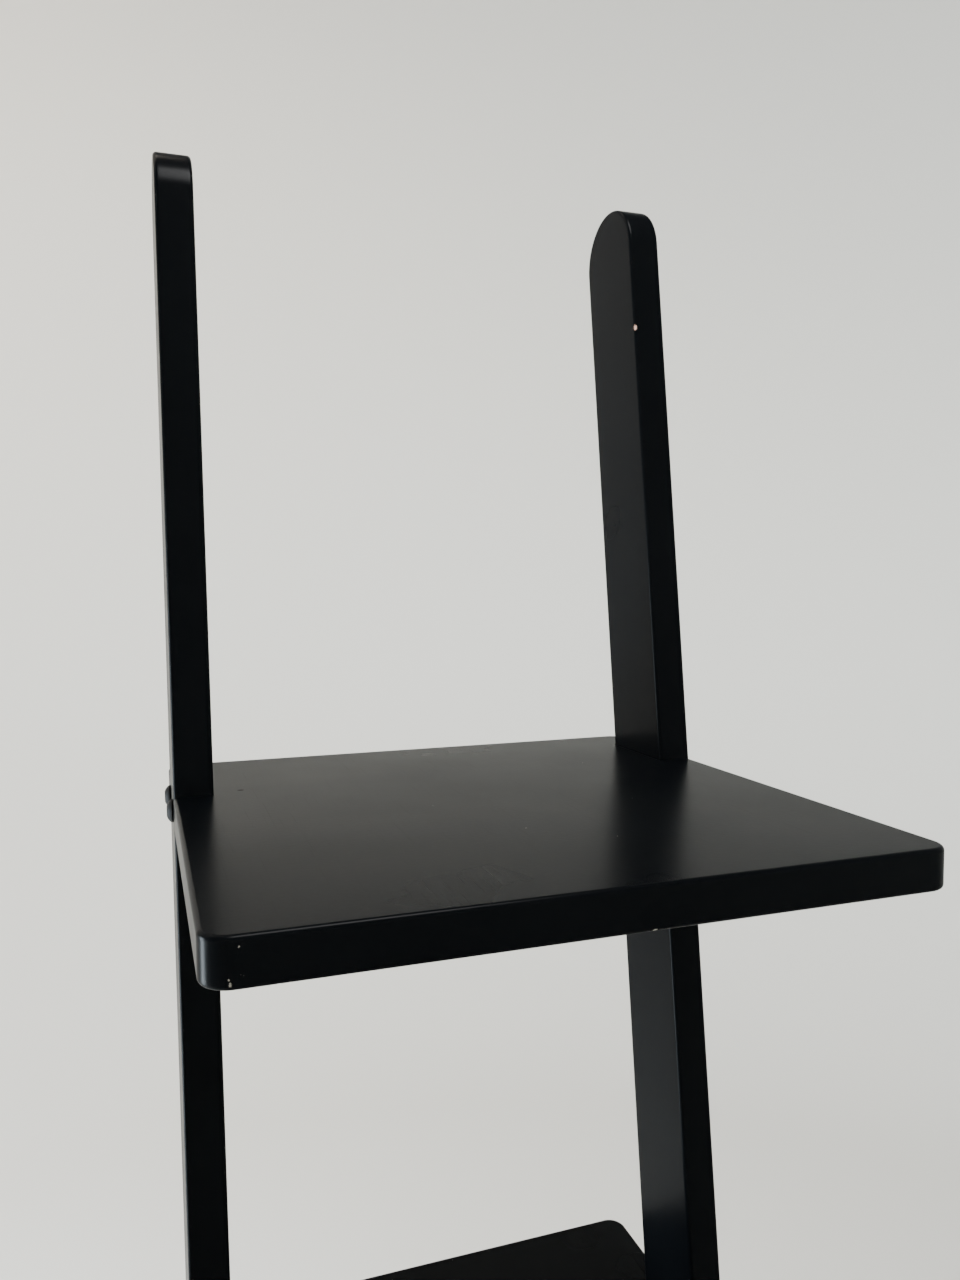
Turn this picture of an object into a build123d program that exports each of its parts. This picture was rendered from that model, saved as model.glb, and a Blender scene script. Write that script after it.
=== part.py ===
"""Leaning ladder shelf: two plank rails, five notched boards and knock-down bolts, in mm.

+X is to the right, +Y is towards the wall and +Z is up. The origin is on the floor, midway
between the wall and the front edges of the boards.
"""

import math
import os

from build123d import *

os.makedirs("parts", exist_ok=True)

# Boards
overall_width = 300.0  # over the outer faces of the rails
board_depth = 300.0  # front edge to rear edge
board_thickness = 18.0
board_corner_radius = 11.0  # seen from above
board_edge_radius = 2.0  # along the outline, above and below
board_count = 5
board_spacing = 350.0  # from one board's top to the next
first_board_top = 105.0  # above the floor
wall_gap = 9.0  # from the boards' rear edges to the wall

# Rails
rail_thickness = 20.0
rail_width = 60.0
rail_edge_radius = 2.0
rail_rise = 345.0  # from the highest board's top to the tip of the rail
foot_setback = 9.0  # from the boards' front edges back to the front of the foot
notch_clearance = 0.2  # between a rail's narrow faces and the board's notch

# Bolts
bolt_pitch = 36.0  # between the two bolts of one joint
bolt_radius = 2.95
bolt_length = 50.0  # under the head
bolt_point_chamfer = 0.6
bolt_hole_radius = 3.3
bolt_hole_spare = 3.0  # how far the board's hole goes on past the point
head_radius = 6.0
head_height = 3.2
head_rim = 0.9  # height of the head's straight edge, under its dome
head_land_radius = 2.8  # flat ring round the socket's mouth
socket_width = 4.0  # across the flats
socket_depth = 2.0

# Barrel nuts
nut_radius = 5.0
nut_thread_radius = 3.0
nut_hole_clearance = 0.1
nut_cover = 3.0  # from each face of the board to the nut
nut_slot_width = 1.2
nut_slot_depth = 1.5
bolt_past_nut = 2.0  # how far the bolt's point passes the nut

# Foot pads
pad_thickness = 2.0
pad_inset = 2.0
pad_corner_radius = 1.5

overall_depth = board_depth + wall_gap
overall_height = first_board_top + (board_count - 1) * board_spacing + rail_rise
board_y = -wall_gap / 2  # the boards' middle

# The rail's rounded tip touches the wall, and the front of its foot stands just behind the
# line of the boards' front edges. Those two places set how far it leans.
tip_radius = rail_width / 2
tip_centre = Vector(0, overall_depth / 2 - tip_radius, overall_height - tip_radius)
tip_run = overall_depth - foot_setback - tip_radius  # level, from the foot's front to the tip's centre
lean = math.acos(tip_radius / math.hypot(tip_centre.Z, tip_run)) - math.atan2(tip_centre.Z, tip_run)
along_rail = Vector(0, math.sin(lean), math.cos(lean))
across_rail = Vector(0, math.cos(lean), -math.sin(lean))
half_level_width = rail_width / 2 / math.cos(lean)  # half the rail's width, measured level

board_tops = [first_board_top + index * board_spacing for index in range(board_count)]
board_numbers = range(1, board_count + 1)  # from the floor up
rail_signs = {"left": -1, "right": 1}
outer_x = overall_width / 2
inner_x = outer_x - rail_thickness
nut_length = board_thickness - 2 * nut_cover
nut_x = outer_x - bolt_length + bolt_past_nut + nut_radius
board_bolt_hole_depth = bolt_length - rail_thickness + bolt_hole_spare


def rail_centre_y(z):
    """Y of the rails' centre line at the height z."""
    return tip_centre.Y - (tip_centre.Z - z) * math.tan(lean)


def bolt_places(board_top):
    """(y, z) of a joint's two bolts, at the board's mid thickness, either side of the rail's middle."""
    z = board_top - board_thickness / 2
    y = rail_centre_y(z)
    return [(y - bolt_pitch / 2, z), (y + bolt_pitch / 2, z)]


def rail_plane(sign):
    """The upright plane of the rail's left face, whose normal is +X."""
    return Plane.YZ.offset(min(sign * outer_x, sign * inner_x))


# Rails: one plank each, cut level at the foot and rounded to a half circle at the tip.
foot_y = rail_centre_y(pad_thickness)
foot_front = (foot_y - half_level_width, pad_thickness)
foot_rear = (foot_y + half_level_width, pad_thickness)
front_shoulder = tip_centre - across_rail * tip_radius
rear_shoulder = tip_centre + across_rail * tip_radius
rail_tip = tip_centre + along_rail * tip_radius

for side, sign in rail_signs.items():
    with BuildPart() as rail:
        with BuildSketch(rail_plane(sign)):
            with BuildLine():
                Polyline(
                    (rear_shoulder.Y, rear_shoulder.Z),
                    foot_rear,
                    foot_front,
                    (front_shoulder.Y, front_shoulder.Z),
                )
                ThreePointArc(
                    (front_shoulder.Y, front_shoulder.Z),
                    (rail_tip.Y, rail_tip.Z),
                    (rear_shoulder.Y, rear_shoulder.Z),
                )
            make_face()
        extrude(amount=rail_thickness)
        outline = rail.faces().filter_by(Axis.X).edges()
        above_foot = outline.filter_by_position(Axis.Z, pad_thickness + rail_edge_radius, overall_height)
        fillet(above_foot, radius=rail_edge_radius)
        with BuildSketch(rail_plane(sign)):
            for board_top in board_tops:
                with Locations(*bolt_places(board_top)):
                    Circle(bolt_hole_radius)
        extrude(amount=rail_thickness, mode=Mode.SUBTRACT)
    rail.part.label = f"{side}_rail"
    export_step(rail.part, f"parts/{side}_rail.step")

# Foot pads: a thin rubber sole glued under each rail.
for side, sign in rail_signs.items():
    with BuildPart() as pad:
        with BuildSketch(Plane.XY):
            with Locations((sign * (outer_x + inner_x) / 2, foot_y)):
                RectangleRounded(
                    rail_thickness - 2 * pad_inset,
                    2 * (half_level_width - pad_inset),
                    pad_corner_radius,
                )
        extrude(amount=pad_thickness)
    pad.part.label = f"{side}_foot_pad"
    export_step(pad.part, f"parts/{side}_foot_pad.step")

# Boards: rounded corners and eased edges, and a leaning notch in each side that takes a rail.
# Two holes run in from each notch for the bolts, and each meets a blind hole for its nut.
for number, board_top in zip(board_numbers, board_tops):
    underside = board_top - board_thickness
    joint = bolt_places(board_top)
    with BuildPart() as board:
        with BuildSketch(Plane.XY.offset(underside)):
            with Locations((0, board_y)):
                RectangleRounded(overall_width, board_depth, board_corner_radius)
        extrude(amount=board_thickness)
        fillet(board.faces().filter_by(Axis.Z).edges(), radius=board_edge_radius)
        for sign in rail_signs.values():
            with BuildSketch(rail_plane(sign)):
                with Locations((rail_centre_y(board_top), board_top)):
                    Rectangle(
                        rail_width + 2 * notch_clearance,
                        3 * board_thickness,
                        rotation=-math.degrees(lean),
                    )
            extrude(amount=rail_thickness, mode=Mode.SUBTRACT)
            with BuildSketch(Plane.YZ.offset(sign * inner_x)):
                with Locations(*joint):
                    Circle(bolt_hole_radius)
            extrude(amount=-sign * board_bolt_hole_depth, mode=Mode.SUBTRACT)
            with BuildSketch(Plane.XY.offset(underside)):
                with Locations(*[(sign * nut_x, y) for y, z in joint]):
                    Circle(nut_radius + nut_hole_clearance)
            extrude(amount=nut_cover + nut_length, mode=Mode.SUBTRACT)
    board.part.label = f"board_{number}"
    export_step(board.part, f"parts/board_{number}.step")

# Bolts: domed heads with a hexagon socket, drawn up against the rail's outer face.
for side, sign in rail_signs.items():
    outward = Vector(sign, 0, 0)
    for number, board_top in zip(board_numbers, board_tops):
        with BuildPart() as bolts:
            for y, z in bolt_places(board_top):
                seat = Vector(sign * outer_x, y, z)
                section = Plane(seat, x_dir=(0, 1, 0), z_dir=(0, 0, -sign))
                with BuildSketch(section):
                    with BuildLine():
                        Polyline(
                            (head_land_radius, head_height),
                            (0, head_height),
                            (0, -bolt_length),
                            (bolt_radius - bolt_point_chamfer, -bolt_length),
                            (bolt_radius, -bolt_length + bolt_point_chamfer),
                            (bolt_radius, 0),
                            (head_radius, 0),
                            (head_radius, head_rim),
                        )
                        RadiusArc(
                            (head_radius, head_rim),
                            (head_land_radius, head_height),
                            -head_radius,
                        )
                    make_face()
                revolve(axis=Axis(seat, outward))
                with BuildSketch(Plane(seat + outward * head_height, x_dir=(0, 1, 0), z_dir=outward)):
                    RegularPolygon(socket_width / 2, side_count=6, major_radius=False)
                extrude(amount=-socket_depth, mode=Mode.SUBTRACT)
        bolts.part.label = f"{side}_bolts_{number}"
        export_step(bolts.part, f"parts/{side}_bolts_{number}.step")

# Barrel nuts: a short cylinder across each bolt, slotted underneath so that it can be turned
# to face the bolt, and pressed up against the end of its hole.
for side, sign in rail_signs.items():
    for number, board_top in zip(board_numbers, board_tops):
        joint = bolt_places(board_top)
        nut_bottom = board_top - board_thickness + nut_cover
        with BuildPart() as nuts:
            with BuildSketch(Plane.XY.offset(nut_bottom)):
                with Locations(*[(sign * nut_x, y) for y, z in joint]):
                    Circle(nut_radius)
            extrude(amount=nut_length)
            with BuildSketch(Plane.YZ.offset(sign * nut_x)):
                with Locations(*joint):
                    Circle(nut_thread_radius)
            extrude(amount=nut_radius, both=True, mode=Mode.SUBTRACT)
            with BuildSketch(Plane.XY.offset(nut_bottom)):
                with Locations(*[(sign * nut_x, y) for y, z in joint]):
                    Rectangle(2 * nut_radius, nut_slot_width)
            extrude(amount=nut_slot_depth, mode=Mode.SUBTRACT)
        nuts.part.label = f"{side}_barrel_nuts_{number}"
        export_step(nuts.part, f"parts/{side}_barrel_nuts_{number}.step")

print(f"lean {math.degrees(lean):.3f} degrees, overall height {overall_height:.1f} mm")
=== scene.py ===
"""Leaning ladder shelf in satin black lacquer: how each piece is shaped and finished.

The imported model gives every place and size. The file follows the shelf as it is put together:
the view, the studio, the rails, the boards, the bolts, the barrel nuts and the foot pads.
"""

import math

import bpy
import numpy as np
from mathutils import Matrix, Vector
from mathutils.geometry import tessellate_polygon


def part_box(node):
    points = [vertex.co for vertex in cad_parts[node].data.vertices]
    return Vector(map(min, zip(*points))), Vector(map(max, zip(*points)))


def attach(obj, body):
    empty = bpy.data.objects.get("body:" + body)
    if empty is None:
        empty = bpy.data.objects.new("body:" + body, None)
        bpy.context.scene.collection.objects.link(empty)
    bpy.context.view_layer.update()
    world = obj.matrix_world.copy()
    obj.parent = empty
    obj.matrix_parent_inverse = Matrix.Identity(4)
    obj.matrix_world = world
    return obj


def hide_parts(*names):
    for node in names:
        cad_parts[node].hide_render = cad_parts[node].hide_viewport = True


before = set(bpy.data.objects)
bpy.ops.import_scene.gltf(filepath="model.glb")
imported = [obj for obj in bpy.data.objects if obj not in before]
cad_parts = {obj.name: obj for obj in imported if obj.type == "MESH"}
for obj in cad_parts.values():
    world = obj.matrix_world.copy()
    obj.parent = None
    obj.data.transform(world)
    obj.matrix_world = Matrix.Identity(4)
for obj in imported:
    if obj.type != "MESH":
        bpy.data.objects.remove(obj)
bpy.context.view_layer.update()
scene = bpy.context.scene

# ---------------------------------------------------------------------------------------------
# The view: someone of average height stands close in front of the shelf, a little to its left,
# and holds the camera upright just above the level of the top board.
# ---------------------------------------------------------------------------------------------
top_board_low, top_board_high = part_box("board_5")
eye_left_of_board = 0.0146
eye_before_board = 0.3110
eye_above_board = 0.1134
turn_right, tip_down, roll = math.radians(19.17), math.radians(3.91), math.radians(-0.36)

lens = bpy.data.cameras.new("camera")
lens.lens = 27.70
lens.clip_start = 0.02
camera = bpy.data.objects.new("camera", lens)
scene.collection.objects.link(camera)
camera.location = (
    top_board_low.x - eye_left_of_board,
    top_board_low.y - eye_before_board,
    top_board_high.z + eye_above_board,
)
camera.rotation_euler = (
    Matrix.Rotation(-turn_right, 3, "Z")
    @ Matrix.Rotation(math.pi / 2 - tip_down, 3, "X")
    @ Matrix.Rotation(roll, 3, "Z")
).to_euler()
scene.camera = camera

# ---------------------------------------------------------------------------------------------
# The studio: a round floor of pale matt paper that turns up into a wall on every side, so that
# the shelf has the same plain surroundings from wherever it is seen.
# ---------------------------------------------------------------------------------------------
paper_white = "#e8e6e1"
paper_radius = 3.6
paper_height = 5.0
cove_radius = 1.2
cove_stops = 17
paper_steps_round = 96


def linear(hex_colour):
    """An sRGB hex colour as the linear RGBA of a colour socket."""
    s = np.array([int(hex_colour[i : i + 2], 16) for i in (1, 3, 5)]) / 255
    return (*np.where(s <= 0.04045, s / 12.92, ((s + 0.055) / 1.055) ** 2.4).tolist(), 1.0)


def add_node(tree, kind, inputs=None, **settings):
    """Adds one shader node. Each input is given a value, or the output that feeds it."""
    made = tree.nodes.new("ShaderNode" + kind)
    for name, value in settings.items():
        setattr(made, name, value)
    for socket, value in (inputs or {}).items():
        if isinstance(value, bpy.types.NodeSocket):
            tree.links.new(value, made.inputs[socket])
        else:
            made.inputs[socket].default_value = value
    return made


def new_material(name):
    """An empty material with its output, its main shader and the object's own coordinates."""
    made = bpy.data.materials.new(name)
    made.use_nodes = True
    tree = made.node_tree
    shader = tree.nodes["Principled BSDF"]
    place = add_node(tree, "TexCoord").outputs["Object"]
    return made, tree, shader, place


def add_mesh(name, vertices, faces, smooth, material):
    """Makes an object at the origin from an array of vertices and a list of faces."""
    mesh = bpy.data.meshes.new(name)
    mesh.from_pydata(vertices.tolist(), [], faces)
    mesh.polygons.foreach_set("use_smooth", np.asarray(smooth, dtype=bool))
    mesh.update()
    mesh.materials.append(material)
    made = bpy.data.objects.new(name, mesh)
    scene.collection.objects.link(made)
    return made


def ring_quads(rings, around, first=0):
    """The faces between neighbouring rings of a closed grid, ring after ring."""
    ring, step = np.meshgrid(np.arange(rings - 1), np.arange(around), indexing="ij")
    low, high, onward = ring * around, (ring + 1) * around, (step + 1) % around
    quads = np.stack([low + step, low + onward, high + onward, high + step], -1)
    return (quads.reshape(-1, 4) + first).tolist()


def paper_surface():
    """A profile turned once round the upright axis: level from the centre, a quarter circle of
    cove_radius, and then upright to paper_height."""
    turn = np.linspace(0, math.pi / 2, cove_stops)
    level_reach = [0.6, 1.6]
    cove_reach = paper_radius - cove_radius * (1 - np.sin(turn))
    reach = np.concatenate([level_reach, cove_reach, [paper_radius]])
    height = np.concatenate([[0, 0], cove_radius * (1 - np.cos(turn)), [paper_height]])
    around = np.linspace(0, 2 * math.pi, paper_steps_round, endpoint=False)
    grid = np.stack(
        [
            reach[:, None] * np.cos(around),
            reach[:, None] * np.sin(around),
            np.broadcast_to(height[:, None], (len(height), paper_steps_round)),
        ],
        -1,
    )
    middle = tuple(range(paper_steps_round))
    facing_in = [face[::-1] for face in ring_quads(len(reach), paper_steps_round)]
    return grid.reshape(-1, 3), [middle] + facing_in


# Seamless background paper: matt, nearly white, without any gloss.
paper, tree, shader, place = new_material("matt_background_paper")
shader.inputs["Base Color"].default_value = linear(paper_white)
shader.inputs["Roughness"].default_value = 0.95
shader.inputs["IOR"].default_value = 1.3
vertices, faces = paper_surface()
add_mesh("paper_sweep", vertices, faces, np.ones(len(faces)), paper)


def add_panel_light(name, place, towards, size, watts, hex_colour):
    """A soft flat light that is seen in the lacquer but not by the camera."""
    data = bpy.data.lights.new(name, "AREA")
    data.shape = "RECTANGLE"
    data.size, data.size_y = size
    data.energy = watts
    data.color = linear(hex_colour)[:3]
    made = bpy.data.objects.new(name, data)
    scene.collection.objects.link(made)
    made.location = place
    made.rotation_euler = (Vector(towards) - Vector(place)).to_track_quat("-Z", "Y").to_euler()
    made.visible_camera = False


# A tall cool panel to the left, as daylight through a glazed door, a small lamp overhead that
# draws the eased edges, and a warm wash on the paper behind.
add_panel_light("daylight_panel", (-2.6, 0.8, 1.0), (0.0, 0.0, 1.1), (0.75, 1.9), 290, "#d9e6ef")
add_panel_light("paper_wash", (-1.3, 1.0, 3.6), (-1.3, 3.6, 1.3), (2.4, 1.0), 85, "#fff3e4")
add_panel_light("ceiling_lamp", (0.1, -0.35, 2.7), (0.1, -0.35, 0.0), (0.5, 0.5), 22, "#ffffff")
world = bpy.data.worlds.new("soft_ceiling")
world.use_nodes = True
world.node_tree.nodes["Background"].inputs["Color"].default_value = linear("#f4f5f6")
world.node_tree.nodes["Background"].inputs["Strength"].default_value = 0.25
scene.world = world

# ---------------------------------------------------------------------------------------------
# The rails: two planks of planed softwood, 20 by 60 mm, cut level at the foot and rounded to a
# half circle at the tip, with every long edge eased by hand. They are sprayed with black
# lacquer over a stain, and a knock goes through it to the pinkish wood.
# ---------------------------------------------------------------------------------------------
rail_width = 0.060
rail_arris = 0.002
bare_wood = "#cfa592"
lacquer_black = "#040507"
worn_black = "#090b0d"
dust_grey = "#8f8d88"
arris_steps = 8
rail_wall_steps = 16
tip_steps = 64
rail_spacing = 0.012
hole_steps = 32
sharp_corner = math.radians(35)


def edge_stops(length, marks=(), coarse=0.006, fine=0.00015, reach=0.0022):
    """Distances along an edge from 0 up to its length, coarse apart, and fine apart within reach
    of the marks: equal shares of the running total of one over the spacing."""
    samples = max(400, int(length / (fine / 1.5)))
    s = np.linspace(0, length, samples)
    gap = np.min([np.abs(s - m) for m in marks], axis=0) if len(marks) else s + 1
    spacing = np.where(gap < reach, fine, coarse)
    total = np.concatenate([[0], np.cumsum(np.diff(s) / spacing[1:])])
    count = int(math.ceil(total[-1]))
    return np.interp(np.arange(count) / count * total[-1], total, s)


def straight_edge(start, end, marks=(), coarse=0.006):
    """Points on a straight edge from start up to end, and the inward direction at each: the
    edge's own direction turned a quarter to the left."""
    start, end = np.array(start), np.array(end)
    length = np.hypot(*(end - start))
    along = (end - start) / length
    points = start + edge_stops(length, marks, coarse)[:, None] * along
    return points, np.broadcast_to([-along[1], along[0]], points.shape)


def round_corner(centre, radius, start, end, steps):
    """Points on an arc from the start angle up to the end angle; inwards is to the centre."""
    turn = np.linspace(start, end, steps, endpoint=False)
    outwards = np.stack([np.cos(turn), np.sin(turn)], -1)
    return np.array(centre) + radius * outwards, -outwards


def eased_plank(outline, inwards, low, high, arris, wall_steps, chips=(), slide=None, holes=()):
    """A closed outline carried straight through the plank's thickness. Each ring is the outline
    moved inwards by arris * (1 - cos b) at a height set by sin b, where b runs from a quarter
    turn down to a quarter turn up, so both arrises are quarter rounds. slide moves the points
    of a ring sideways in step with its height, for a leaning notch. A chip hollows the surface
    by a bowl of depth * (1 - d * d), d being the distance from its middle over its radii, and
    bare says how far it goes through the lacquer; it stops short of the two flat faces. A hole
    is a blind bore from the low face, as (its middle, radius, depth). Returns the vertices as
    (outline, outline, thickness), the faces, whether each is smooth, and how deep in a bare chip
    each vertex is."""
    down = np.linspace(-math.pi / 2, 0, arris_steps + 1)
    wall = np.linspace(low + arris, high - arris, wall_steps + 1)[1:-1]
    tilt = np.concatenate([down, np.zeros(len(wall)), -down[::-1]])
    rise = arris * (1 + np.sin(down))
    height = np.concatenate([low + rise, wall, high - rise[::-1]])
    inset = arris * (1 - np.cos(tilt))
    rings, around = len(height), len(outline)
    level = outline + inset[:, None, None] * inwards
    if slide is not None:
        level = level + (height[:, None, None] - high) * slide
    column = (rings, around, 1)
    grid = np.concatenate([level, np.broadcast_to(height[:, None, None], column)], -1)
    outwards = np.concatenate(
        [
            -inwards * np.cos(tilt)[:, None, None],
            np.broadcast_to(np.sin(tilt)[:, None, None], column),
        ],
        -1,
    )
    chipped = np.full((rings, around), -1.0)
    off_flat_faces = (np.cos(tilt) > 0.01)[:, None]
    for middle, radii, depth, bare in chips:
        inside = 1 - np.linalg.norm((grid - np.array(middle)) / np.array(radii), axis=-1)
        bowl = (1 - (1 - np.clip(inside, 0, 1)) ** 2) * off_flat_faces
        grid = grid - outwards * (depth * bowl)[..., None]
        chipped = np.maximum(chipped, np.where(inside > 0, inside * bare, -1))
    vertices = [grid.reshape(-1, 3)]
    faces = ring_quads(rings, around)
    smooth = [True] * len(faces)
    top = tuple(range((rings - 1) * around, rings * around))
    count = rings * around
    loops, loop_indices = [grid[0]], [np.arange(around)]
    for (u, v), radius, depth in holes:
        turn = np.linspace(0, 2 * math.pi, hole_steps, endpoint=False)
        rim = np.stack([u + radius * np.cos(turn), v + radius * np.sin(turn)], -1)
        mouth, bottom = (np.column_stack([rim, np.full(hole_steps, z)]) for z in (low, low + depth))
        vertices += [mouth, bottom]
        faces += [face[::-1] for face in ring_quads(2, hole_steps, count)]
        faces.append(tuple(range(count + 2 * hole_steps - 1, count + hole_steps - 1, -1)))
        smooth += [True] * hole_steps + [False]
        loops.append(mouth)
        loop_indices.append(np.arange(count, count + hole_steps))
        count += 2 * hole_steps
    # The low face is cut into triangles round the holes, all facing down.
    flat = np.concatenate(loops)
    index = np.concatenate(loop_indices)
    cap = np.array(tessellate_polygon([[Vector(p) for p in loop] for loop in loops]))
    a, b, c = (flat[cap[:, i], :2] for i in range(3))
    area = (b - a)[:, 0] * (c - a)[:, 1] - (b - a)[:, 1] * (c - a)[:, 0]
    cap = np.where((area > 0)[:, None], cap[:, ::-1], cap)[np.abs(area) > 0]
    faces += index[cap].tolist() + [top]
    smooth += [False] * (len(cap) + 1)
    vertices = np.concatenate(vertices)
    chip_values = np.full(len(vertices), -1.0)
    chip_values[: rings * around] = chipped.ravel()
    return vertices, faces, smooth, chip_values


def finish_plank(name, columns, shape, material, node):
    """Puts a plank's columns in X, Y, Z order, marks its true corners sharp, stores how far each
    vertex is inside a chip, and lets the plank stand for its CAD node."""
    vertices, faces, smooth, chip_values = shape
    made = add_mesh(name, vertices[:, columns], faces, smooth, material)
    made.data.set_sharp_from_angle(angle=sharp_corner)
    # Marking the corners makes every face smooth, so the flat ones are set once more.
    made.data.polygons.foreach_set("use_smooth", np.asarray(smooth, dtype=bool))
    attribute = made.data.attributes.new("chip", "FLOAT", "POINT")
    attribute.data.foreach_set("value", chip_values.astype(np.float32))
    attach(made, "root")
    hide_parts(node)


def black_lacquer(name, bare_hex, grain_across):
    """Sprayed satin lacquer: nearly black and faintly cool, with orange peel 2.5 mm across, a
    slow change of gloss over a hand's breadth, hairline rubs, specks of dust on what lies
    level, and the bare ground where a chip is. grain_across is the grain's spacing, or 0."""
    made, tree, shader, place = new_material(name)
    peel, slow, fine = (
        add_node(
            tree, "TexNoise", {"Vector": place, "Scale": 1 / across, "Detail": detail}
        ).outputs["Fac"]
        for across, detail in ((0.0025, 2.0), (0.09, 3.0), (0.0005, 2.0))
    )
    height = peel
    if grain_across:
        # The grain is drawn out to 80 mm along the rail.
        stretch = (1, 1, grain_across / 0.08)
        along = add_node(tree, "Mapping", {"Vector": place, "Scale": stretch}).outputs["Vector"]
        grain = add_node(
            tree, "TexNoise", {"Vector": along, "Scale": 1 / grain_across, "Detail": 3.0}
        ).outputs["Fac"]
        height = add_node(
            tree, "Math", {0: grain, 1: 0.6, 2: peel}, operation="MULTIPLY_ADD"
        ).outputs[0]
    # Hairline rubs: long thin streaks, 0.4 mm wide, from wiping with a cloth.
    streak_turn, streak_scale = (0.3, 0.2, 0.5), (1 / 0.0004, 1 / 0.05, 1 / 0.004)
    swept = add_node(
        tree, "Mapping", {"Vector": place, "Rotation": streak_turn, "Scale": streak_scale}
    ).outputs["Vector"]
    streak = add_node(
        tree, "TexNoise", {"Vector": swept, "Scale": 1.0, "Detail": 1.0}
    ).outputs["Fac"]
    rub = add_node(
        tree, "MapRange", {"Value": streak, "From Min": 0.68, "From Max": 0.76}
    ).outputs["Result"]
    # Dust: one speck in some cells 14 mm wide, about half a millimetre across.
    cells = add_node(tree, "TexVoronoi", {"Vector": place, "Scale": 1 / 0.014, "Randomness": 1.0})
    near = add_node(
        tree,
        "MapRange",
        {"Value": cells.outputs["Distance"], "From Min": 0.026, "From Max": 0.012},
    ).outputs["Result"]
    pick = add_node(tree, "SeparateColor", {"Color": cells.outputs["Color"]}).outputs["Red"]
    some = add_node(tree, "Math", {0: pick, 1: 0.62}, operation="GREATER_THAN").outputs[0]
    normal = add_node(tree, "NewGeometry").outputs["Normal"]
    facing = add_node(tree, "SeparateXYZ", {"Vector": normal}).outputs["Z"]
    level = add_node(
        tree, "MapRange", {"Value": facing, "From Min": 0.7, "From Max": 0.95}
    ).outputs["Result"]
    dust = add_node(tree, "Math", {0: near, 1: some}, operation="MULTIPLY").outputs[0]
    dust = add_node(tree, "Math", {0: dust, 1: level}, operation="MULTIPLY").outputs[0]
    # Chips: their ragged edge is the stored distance roughened by the half-millimetre noise.
    inside = add_node(tree, "Attribute", attribute_name="chip").outputs["Fac"]
    ragged = add_node(
        tree, "Math", {0: fine, 1: 1.4, 2: inside}, operation="MULTIPLY_ADD"
    ).outputs[0]
    chip = add_node(
        tree, "MapRange", {"Value": ragged, "From Min": 0.85, "From Max": 1.15}
    ).outputs["Result"]
    # In a colour mix, inputs 6 and 7 are its two colours and output 2 is the colour.
    tone = linear(lacquer_black)
    for share, hex_colour in ((slow, worn_black), (dust, dust_grey), (chip, bare_hex)):
        tone = add_node(
            tree, "Mix", {"Factor": share, 6: tone, 7: linear(hex_colour)}, data_type="RGBA"
        ).outputs[2]
    gloss = add_node(
        tree,
        "MapRange",
        {"Value": slow, "From Min": 0.3, "From Max": 0.7, "To Min": 0.27, "To Max": 0.33},
    ).outputs["Result"]
    gloss = add_node(
        tree, "Math", {0: rub, 1: 0.05, 2: gloss}, operation="MULTIPLY_ADD"
    ).outputs[0]
    gloss = add_node(
        tree, "Mix", {"Factor": chip, 2: gloss, 3: 0.8}, data_type="FLOAT"
    ).outputs[0]
    bump = add_node(
        tree, "Bump", {"Height": height, "Strength": 0.12, "Distance": 0.00015}
    ).outputs["Normal"]
    tree.links.new(tone, shader.inputs["Base Color"])
    tree.links.new(gloss, shader.inputs["Roughness"])
    tree.links.new(bump, shader.inputs["Normal"])
    tree.links.new(bump, shader.inputs["Coat Normal"])
    # The matting agent leaves the colour coat almost no gloss, and the film over it is thin
    # and weak, so the lacquer shines only where it is seen at a low angle.
    shader.inputs["IOR"].default_value = 1.045
    shader.inputs["Coat Weight"].default_value = 0.14
    shader.inputs["Coat IOR"].default_value = 1.28
    shader.inputs["Coat Roughness"].default_value = 0.25
    return made


rail_lacquer = black_lacquer("satin_black_lacquer_on_pine", bare_wood, 0.0012)

for side in ("left", "right"):
    low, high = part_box(f"{side}_rail")
    joint_low, joint_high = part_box(f"{side}_bolts_1")
    joint = (joint_low + joint_high) / 2
    tip_y, tip_z = high.y - rail_width / 2, high.z - rail_width / 2
    lean = math.atan2(tip_y - joint.y, tip_z - joint.z)
    across = np.array([math.cos(lean), -math.sin(lean)]) * rail_width / 2
    half_level = rail_width / 2 / math.cos(lean)
    foot_y = tip_y - (tip_z - low.z) * math.tan(lean)
    foot_front, foot_rear = (foot_y - half_level, low.z), (foot_y + half_level, low.z)
    rear_shoulder, front_shoulder = (tip_y, tip_z) + across, (tip_y, tip_z) - across
    chips, marks = [], []
    if side == "right":
        # A knock through to the wood on the inner front arris, and a pinprick above it.
        for above_board, long, wide, depth, bare in (
            (0.264, 0.0022, 0.0016, 0.0006, 1.0),
            (0.305, 0.0011, 0.0008, 0.0003, 0.0),
        ):
            z = top_board_high.z + above_board
            y = tip_y - (tip_z - z) * math.tan(lean) - half_level
            chips.append(((y + 0.0005, z, low.x + 0.0005), (wide, long, wide), depth, bare))
            marks.append((front_shoulder[1] - z) / math.cos(lean))
    edges = [
        straight_edge(foot_front, foot_rear),
        straight_edge(foot_rear, rear_shoulder, coarse=rail_spacing),
        round_corner((tip_y, tip_z), rail_width / 2, -lean, math.pi - lean, tip_steps),
        straight_edge(front_shoulder, foot_front, marks, coarse=rail_spacing),
    ]
    # The foot is sawn level and left unrounded, so only its two ends follow the eased faces
    # above them.
    foot = np.zeros(edges[0][0].shape)
    foot[0] = (1 / math.cos(lean), 0)
    edges[0] = (edges[0][0], foot)
    edges[1] = (edges[1][0], edges[1][1].copy())
    edges[1][1][0] = (-1 / math.cos(lean), 0)
    outline = np.concatenate([points for points, inwards in edges])
    inwards = np.concatenate([inwards for points, inwards in edges])
    shape = eased_plank(outline, inwards, low.x, high.x, rail_arris, rail_wall_steps, chips)
    finish_plank(
        f"{side}_rail_plank", [2, 0, 1], shape, rail_lacquer, f"{side}_rail"
    )

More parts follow.
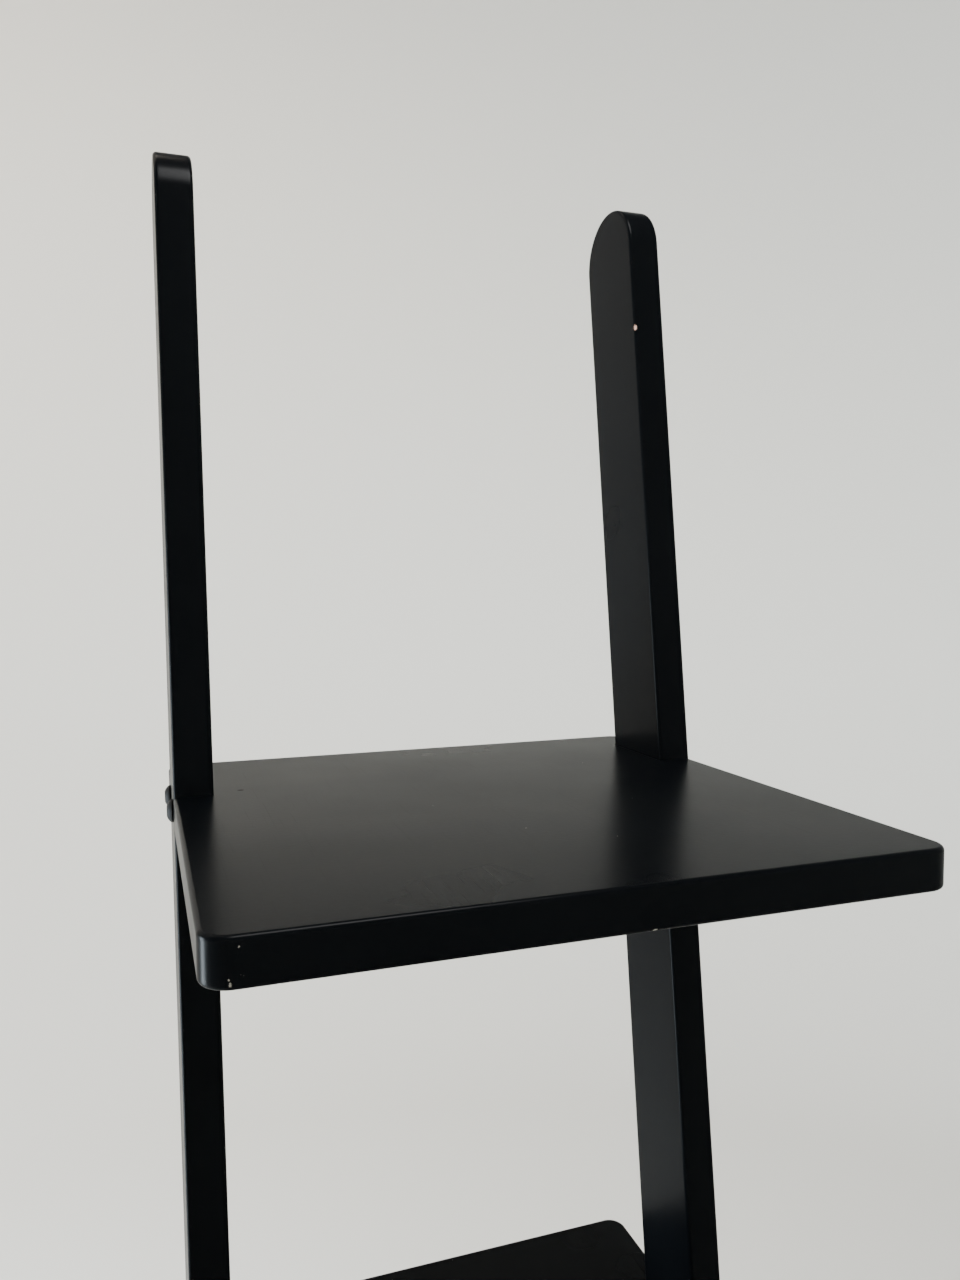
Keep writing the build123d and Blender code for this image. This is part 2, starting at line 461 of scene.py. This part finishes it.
# ---------------------------------------------------------------------------------------------
# The boards: five of 18 mm fibreboard, with rounded corners and eased edges, primed grey and
# sprayed with the same black lacquer. Each side has a leaning notch that takes a rail, and the
# underside has blind holes for the barrel nuts.
# ---------------------------------------------------------------------------------------------
corner_radius = 0.011
board_arris = 0.002
notch_clearance = 0.0002
nut_hole_radius = 0.0051
nut_hole_depth = 0.015
corner_steps, chipped_corner_steps = 24, 96
board_wall_steps, chipped_wall_steps = 3, 60
bare_primer = "#918c82"
scuffed_black = "#040404"

board_lacquer = black_lacquer("satin_black_lacquer_on_fibreboard", bare_primer, 0)

# A dull scuff 3 mm long on the top board, beside its left rail, where something was dragged.
scuff_place = (top_board_low.x + 0.034, top_board_high.y - 0.086, top_board_high.z)
scuff_radii = (0.0017, 0.0011, 0.001)
tree = board_lacquer.node_tree
shader = tree.nodes["Principled BSDF"]
place = add_node(tree, "TexCoord").outputs["Object"]
from_scuff = add_node(
    tree, "VectorMath", {0: place, 1: scuff_place}, operation="SUBTRACT"
).outputs[0]
from_scuff = add_node(
    tree, "VectorMath", {0: from_scuff, 1: scuff_radii}, operation="DIVIDE"
).outputs[0]
far = add_node(tree, "VectorMath", {0: from_scuff}, operation="LENGTH").outputs["Value"]
scuff = add_node(
    tree, "MapRange", {"Value": far, "From Min": 1.1, "From Max": 0.6}
).outputs["Result"]
tone, gloss = (shader.inputs[name].links[0].from_socket for name in ("Base Color", "Roughness"))
tone = add_node(
    tree, "Mix", {"Factor": scuff, 6: tone, 7: linear(scuffed_black)}, data_type="RGBA"
).outputs[2]
gloss = add_node(tree, "Mix", {"Factor": scuff, 2: gloss, 3: 1.0}, data_type="FLOAT").outputs[0]
tree.links.new(tone, shader.inputs["Base Color"])
tree.links.new(gloss, shader.inputs["Roughness"])

joints = [sum(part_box(f"left_bolts_{n}"), Vector()) / 2 for n in range(1, 6)]
lean = math.atan2(joints[-1].y - joints[0].y, joints[-1].z - joints[0].z)
half_notch = (rail_width / 2 + notch_clearance) / math.cos(lean)
bottom_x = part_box("left_rail")[1].x
r = corner_radius


def notch(mouth_x, bottom_x, first_y, last_y):
    """The notch's corners from its first mouth round to its last. Only the mouths follow the
    board's eased side, and all of them slide with the rail's lean."""
    x = [mouth_x, (mouth_x + bottom_x) / 2, bottom_x, bottom_x, (mouth_x + bottom_x) / 2, mouth_x]
    y = [first_y] * 3 + [last_y] * 3
    inwards = np.zeros((6, 2))
    inwards[[0, 5], 0] = -np.sign(mouth_x)
    return np.column_stack([x, y]), inwards


for number, joint in enumerate(joints, start=1):
    low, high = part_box(f"board_{number}")
    rail_y = joint.y + (high.z - joint.z) * math.tan(lean)
    front_y, rear_y = rail_y - half_notch, rail_y + half_notch
    chips, marks = [], []
    if number == 5:
        # Knocks near the left front corner and one in the middle of the lower front edge.
        for right_of_side, below_top, wide, tall, depth, bare in (
            (0.0125, 0.0036, 0.0006, 0.0005, 0.00020, 0.7),
            (0.0096, 0.0156, 0.0007, 0.0011, 0.00030, 0.8),
            (0.0092, 0.0140, 0.0004, 0.0005, 0.00015, 0.7),
            (0.0133, 0.0130, 0.0007, 0.0007, 0.00025, 0.0),
            (0.0250, 0.0177, 0.0010, 0.0006, 0.00030, 0.0),
            (0.0285, 0.0177, 0.0006, 0.0005, 0.00020, 0.0),
            (0.1610, 0.0176, 0.0013, 0.0009, 0.00040, 1.0),
        ):
            in_arris = 0.0005 if below_top > 0.0165 else 0.0
            middle = (low.x + right_of_side, low.y + in_arris, high.z - below_top)
            chips.append((middle, (wide, 0.001, tall), depth, bare))
            if right_of_side > r:
                marks.append(right_of_side - r)
    # Only the board with chips needs fine steps where they are.
    left_front_steps = chipped_corner_steps if chips else corner_steps
    wall_steps = chipped_wall_steps if chips else board_wall_steps
    edges = [
        straight_edge((low.x + r, low.y), (high.x - r, low.y), marks),
        round_corner((high.x - r, low.y + r), r, -math.pi / 2, 0, corner_steps),
        straight_edge((high.x, low.y + r), (high.x, front_y)),
        notch(high.x, -bottom_x, front_y, rear_y),
        straight_edge((high.x, rear_y), (high.x, high.y - r)),
        round_corner((high.x - r, high.y - r), r, 0, math.pi / 2, corner_steps),
        straight_edge((high.x - r, high.y), (low.x + r, high.y)),
        round_corner((low.x + r, high.y - r), r, math.pi / 2, math.pi, corner_steps),
        straight_edge((low.x, high.y - r), (low.x, rear_y)),
        notch(low.x, bottom_x, rear_y, front_y),
        straight_edge((low.x, front_y), (low.x, low.y + r)),
        round_corner((low.x + r, low.y + r), r, math.pi, 1.5 * math.pi, left_front_steps),
    ]
    # The side edges stretch between their fixed corner and the mouth that slides.
    shares = [np.zeros(len(points)) for points, inwards in edges]
    shares[3][:] = shares[9][:] = 1
    for index, fades in ((2, False), (4, True), (8, False), (10, True)):
        share = np.arange(len(shares[index])) / len(shares[index])
        shares[index] = 1 - share if fades else share
    # A mouth closes a notch, so the side edge after it starts one step on.
    for index in (4, 10):
        edges[index] = tuple(part[1:] for part in edges[index])
        shares[index] = shares[index][1:]
    outline = np.concatenate([points for points, inwards in edges])
    inwards = np.concatenate([inwards for points, inwards in edges])
    slide = np.concatenate(shares)[:, None] * np.array([0.0, math.tan(lean)])
    holes = []
    for side in ("left", "right"):
        nut_low, nut_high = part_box(f"{side}_barrel_nuts_{number}")
        nut_radius = (nut_high.x - nut_low.x) / 2
        for y in (nut_low.y + nut_radius, nut_high.y - nut_radius):
            holes.append((((nut_low.x + nut_high.x) / 2, y), nut_hole_radius, nut_hole_depth))
    shape = eased_plank(
        outline, inwards, low.z, high.z, board_arris, wall_steps, chips, slide, holes
    )
    finish_plank(
        f"board_{number}_panel", [0, 1, 2], shape, board_lacquer, f"board_{number}"
    )

# ---------------------------------------------------------------------------------------------
# The bolts: steel with a domed head and a hexagon socket, blackened, and tightened from outside
# with a key, which has rubbed the black a little in places.
# ---------------------------------------------------------------------------------------------
blackened_steel = "#050506"
rubbed_steel = "#1c1c1d"

# Black-oxide steel: dark, softly metallic, a little blotchy, paler where it is rubbed.
black_oxide, tree, shader, place = new_material("black_oxide_steel")
blotch = add_node(
    tree, "TexNoise", {"Vector": place, "Scale": 1 / 0.0015, "Detail": 4.0}
).outputs["Fac"]
worn = add_node(
    tree, "MapRange", {"Value": blotch, "From Min": 0.62, "From Max": 0.75}
).outputs["Result"]
tone = add_node(
    tree,
    "Mix",
    {"Factor": worn, 6: linear(blackened_steel), 7: linear(rubbed_steel)},
    data_type="RGBA",
).outputs[2]
gloss = add_node(
    tree, "MapRange", {"Value": blotch, "To Min": 0.55, "To Max": 0.7}
).outputs["Result"]
bump = add_node(
    tree, "Bump", {"Height": blotch, "Strength": 0.1, "Distance": 0.00005}
).outputs["Normal"]
tree.links.new(tone, shader.inputs["Base Color"])
tree.links.new(gloss, shader.inputs["Roughness"])
tree.links.new(bump, shader.inputs["Normal"])
shader.inputs["Metallic"].default_value = 0.9

# ---------------------------------------------------------------------------------------------
# The barrel nuts: short turned cylinders across the bolts, slotted for a screwdriver and zinc
# plated. They show only from below, at the bottom of their holes.
# ---------------------------------------------------------------------------------------------
zinc_bright = "#b9bcbf"
zinc_dull = "#85898c"

# Zinc-plated steel: pale bluish metal with a dull bloom, and turning marks drawn about 2 mm
# apart, coarser than real ones, so that they show.
zinc, tree, shader, place = new_material("zinc_plated_steel")
bloom = add_node(
    tree, "TexNoise", {"Vector": place, "Scale": 1 / 0.003, "Detail": 3.0}
).outputs["Fac"]
# A wave texture of scale 1 turns through 20 radians in a unit, so its bands are 0.3 mm times
# 2 pi apart here.
turning = add_node(
    tree,
    "TexWave",
    {"Vector": place, "Scale": 1 / 0.0003 / 20, "Distortion": 0.5},
    bands_direction="Z",
).outputs["Fac"]
tone = add_node(
    tree,
    "Mix",
    {"Factor": bloom, 6: linear(zinc_bright), 7: linear(zinc_dull)},
    data_type="RGBA",
).outputs[2]
gloss = add_node(
    tree, "MapRange", {"Value": bloom, "To Min": 0.25, "To Max": 0.45}
).outputs["Result"]
bump = add_node(
    tree, "Bump", {"Height": turning, "Strength": 0.15, "Distance": 0.00003}
).outputs["Normal"]
tree.links.new(tone, shader.inputs["Base Color"])
tree.links.new(gloss, shader.inputs["Roughness"])
tree.links.new(bump, shader.inputs["Normal"])
shader.inputs["Metallic"].default_value = 1.0

# ---------------------------------------------------------------------------------------------
# The foot pads: thin soles of black rubber glued under the rails, so the feet neither slip nor
# mark the floor.
# ---------------------------------------------------------------------------------------------
rubber_black = "#1c1c1b"
rubber_grey = "#2b2b2a"

# Sheet rubber: dull dark grey with a fine pitted surface, half a millimetre from pit to pit.
rubber, tree, shader, place = new_material("black_sheet_rubber")
pits = add_node(
    tree, "TexNoise", {"Vector": place, "Scale": 1 / 0.0005, "Detail": 3.0}
).outputs["Fac"]
tone = add_node(
    tree,
    "Mix",
    {"Factor": pits, 6: linear(rubber_black), 7: linear(rubber_grey)},
    data_type="RGBA",
).outputs[2]
gloss = add_node(
    tree, "MapRange", {"Value": pits, "To Min": 0.7, "To Max": 0.9}
).outputs["Result"]
bump = add_node(
    tree, "Bump", {"Height": pits, "Strength": 0.3, "Distance": 0.0001}
).outputs["Normal"]
tree.links.new(tone, shader.inputs["Base Color"])
tree.links.new(gloss, shader.inputs["Roughness"])
tree.links.new(bump, shader.inputs["Normal"])
shader.inputs["IOR"].default_value = 1.5

for node_name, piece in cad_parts.items():
    finish = black_oxide if "_bolts_" in node_name else zinc if "nuts" in node_name else rubber
    piece.data.materials.clear()
    piece.data.materials.append(finish)
